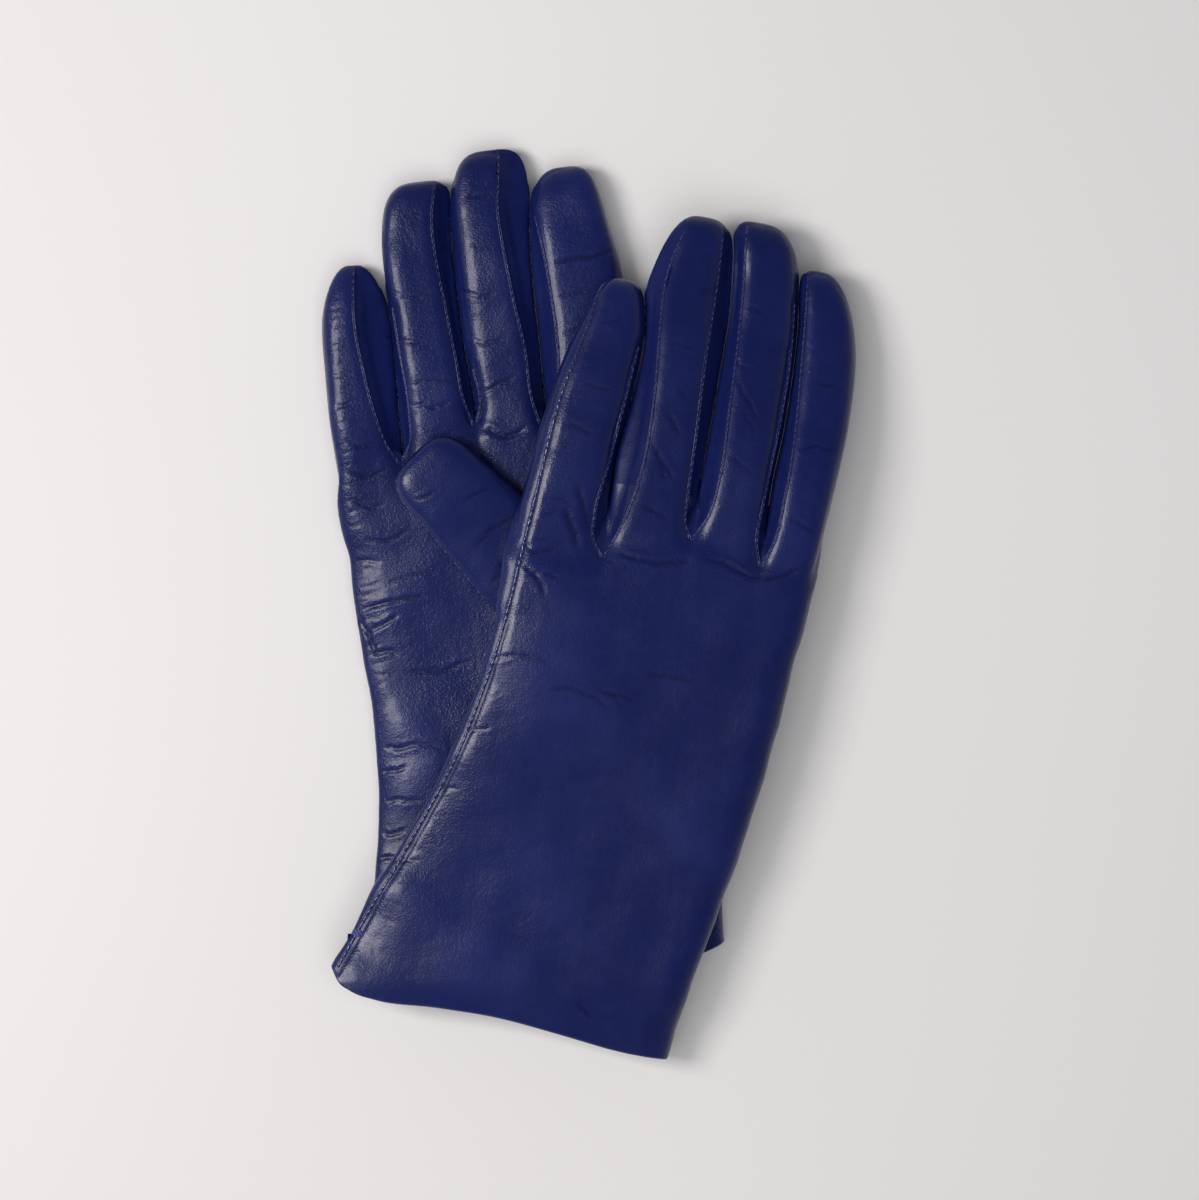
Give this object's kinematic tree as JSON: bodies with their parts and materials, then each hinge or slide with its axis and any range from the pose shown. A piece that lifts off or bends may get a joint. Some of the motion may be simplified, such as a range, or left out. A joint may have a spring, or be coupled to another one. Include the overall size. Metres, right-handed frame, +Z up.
{
  "type": "leather gloves",
  "caption": "A pair of lined dress gloves in smooth leather, laid flat and crossed: the right glove palm up underneath, the left glove back up on top.",
  "frame": {"origin": "on the table under the middle of the pair's outline", "axes": "+Z up from the table, +Y from the cuffs to the fingertips, +X towards the left glove's index finger"},
  "size_m": [0.1542, 0.2636, 0.03],
  "materials": {
    "leather": "smooth dyed nappa with a soft gloss",
    "lining": "fine knit",
    "thread": "twisted sewing thread in the leather's colour",
    "elastic": "woven elastic tape"
  },
  "bodies": {
    "right_hand": {"right_hand_leather": "leather", "right_cuff_hem": "leather", "right_hand_lining": "lining", "right_wrist_elastic": "elastic", "right_side_seam_thread": "thread", "right_seam_tack": "thread", "right_index_base_leather": "leather", "right_index_base_fourchette": "leather", "right_index_base_lining": "lining", "right_thumb_base_leather": "leather", "right_thumb_base_lining": "lining"},
    "right_little_finger": {"right_little_leather": "leather", "right_little_fourchette": "leather", "right_little_lining": "lining"},
    "right_ring_finger": {"right_ring_leather": "leather", "right_ring_fourchettes": "leather", "right_ring_lining": "lining"},
    "right_middle_finger": {"right_middle_leather": "leather", "right_middle_fourchettes": "leather", "right_middle_lining": "lining"},
    "right_index_tip": {"right_index_tip_leather": "leather", "right_index_tip_fourchette": "leather", "right_index_tip_lining": "lining"},
    "right_thumb_tip": {"right_thumb_tip_leather": "leather", "right_thumb_tip_lining": "lining"},
    "left_hand": {"left_hand_leather": "leather", "left_cuff_hem": "leather", "left_hand_lining": "lining", "left_wrist_elastic": "elastic", "left_side_seam_thread": "thread", "left_seam_tack": "thread"},
    "left_little_finger": {"left_little_leather": "leather", "left_little_fourchette": "leather", "left_little_lining": "lining"},
    "left_ring_finger": {"left_ring_leather": "leather", "left_ring_fourchettes": "leather", "left_ring_lining": "lining"},
    "left_middle_finger": {"left_middle_leather": "leather", "left_middle_fourchettes": "leather", "left_middle_lining": "lining"},
    "left_index_finger": {"left_index_leather": "leather", "left_index_fourchette": "leather", "left_index_lining": "lining"},
    "left_thumb": {"left_thumb_leather": "leather", "left_thumb_lining": "lining"}
  },
  "joints": [
    {"name": "left_glove_lift", "type": "slide", "parent": "right_hand", "child": "left_hand", "axis": [0, 0, 1], "range_m": [0, 0.08]},
    {"name": "right_little_knuckle", "type": "hinge", "parent": "right_hand", "child": "right_little_finger", "pos_m": [-0.06515, 0.05056, 0.00575], "axis": [0.9932, 0.1167, 0], "range_deg": [0, 60]},
    {"name": "right_ring_knuckle", "type": "hinge", "parent": "right_hand", "child": "right_ring_finger", "pos_m": [-0.0441, 0.05303, 0.00575], "axis": [0.9932, 0.1167, 0], "range_deg": [0, 60]},
    {"name": "right_middle_knuckle", "type": "hinge", "parent": "right_hand", "child": "right_middle_finger", "pos_m": [-0.02265, 0.05555, 0.00575], "axis": [0.9932, 0.1167, 0], "range_deg": [0, 60]},
    {"name": "right_index_tip_joint", "type": "hinge", "parent": "right_hand", "child": "right_index_tip", "pos_m": [-0.00363, 0.10108, 0.0065], "axis": [0.9932, 0.1167, 0], "range_deg": [0, 50]},
    {"name": "right_thumb_tip_joint", "type": "hinge", "parent": "right_hand", "child": "right_thumb_tip", "pos_m": [-0.03076, 0.0227, 0.0154], "axis": [0.7108, 0.7034, 0], "range_deg": [0, 45]},
    {"name": "left_little_knuckle", "type": "hinge", "parent": "left_hand", "child": "left_little_finger", "pos_m": [-0.00302, 0.04446, 0.02347], "axis": [0.9851, -0.1719, 0], "range_deg": [0, 40]},
    {"name": "left_ring_knuckle", "type": "hinge", "parent": "left_hand", "child": "left_ring_finger", "pos_m": [0.02072, 0.04031, 0.02181], "axis": [0.9851, -0.1719, 0], "range_deg": [0, 40]},
    {"name": "left_middle_knuckle", "type": "hinge", "parent": "left_hand", "child": "left_middle_finger", "pos_m": [0.04347, 0.03634, 0.02022], "axis": [0.9851, -0.1719, 0], "range_deg": [0, 40]},
    {"name": "left_index_knuckle", "type": "hinge", "parent": "left_hand", "child": "left_index_finger", "pos_m": [0.06317, 0.0329, 0.01884], "axis": [0.9851, -0.1719, 0], "range_deg": [0, 40]},
    {"name": "left_thumb_swing", "type": "hinge", "parent": "left_hand", "child": "left_thumb", "pos_m": [0.0416, -0.03, 0.0063], "axis": [0, 0, -1], "range_deg": [0, 45]}
  ]
}
